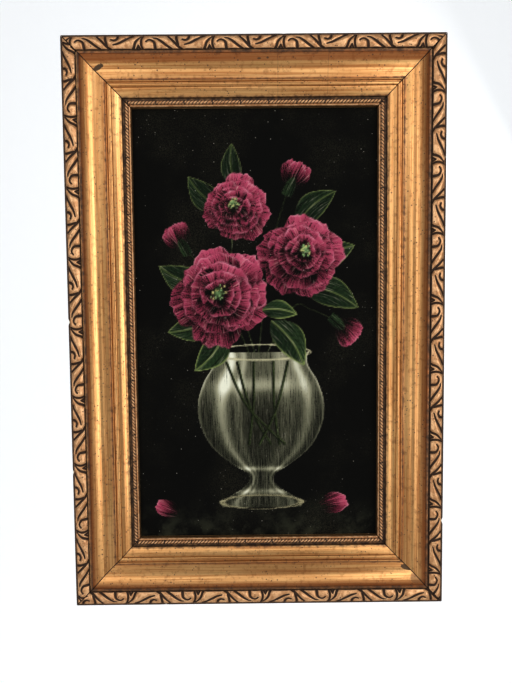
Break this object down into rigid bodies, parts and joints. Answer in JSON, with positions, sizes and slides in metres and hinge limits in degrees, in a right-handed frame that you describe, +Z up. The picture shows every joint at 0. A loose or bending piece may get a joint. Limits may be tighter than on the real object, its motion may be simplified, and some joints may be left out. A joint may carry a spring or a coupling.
{
  "type": "framed oil painting",
  "caption": "Oil still life on dark stretched cloth in a gilt scoop frame with a scroll band and a rope bead, made to hang on a wall.",
  "frame": {"origin": "centre of the sawtooth hanger plate's flat back face, which lies against the wall", "axes": "+Z up along the picture's height, +X to the right as the picture is looked at, +Y into the wall; the picture faces -Y"},
  "size_m": [0.4, 0.047, 0.606],
  "materials": {
    "antique_gilt": "antique gilt over pressed composition and wood, rubbed, with dark umber in the recesses",
    "painted_cloth": "black velvet-like cloth with a thin oil painting",
    "raw_wood": "bare sawn softwood",
    "brass_plate": "dull brass-coloured plating",
    "steel": "plain steel wire"
  },
  "bodies": {
    "root": {"rail_top": "antique_gilt", "rail_right": "antique_gilt", "rail_bottom": "antique_gilt", "rail_left": "antique_gilt", "painted_canvas": "painted_cloth", "stretcher_top": "raw_wood", "stretcher_right": "raw_wood", "stretcher_bottom": "raw_wood", "stretcher_left": "raw_wood", "brad_top": "steel", "brad_right_1": "steel", "brad_right_2": "steel", "brad_bottom": "steel", "brad_left_1": "steel", "brad_left_2": "steel", "hanger_plate": "brass_plate", "hanger_nail_left": "steel", "hanger_nail_right": "steel"}
  },
  "joints": []
}
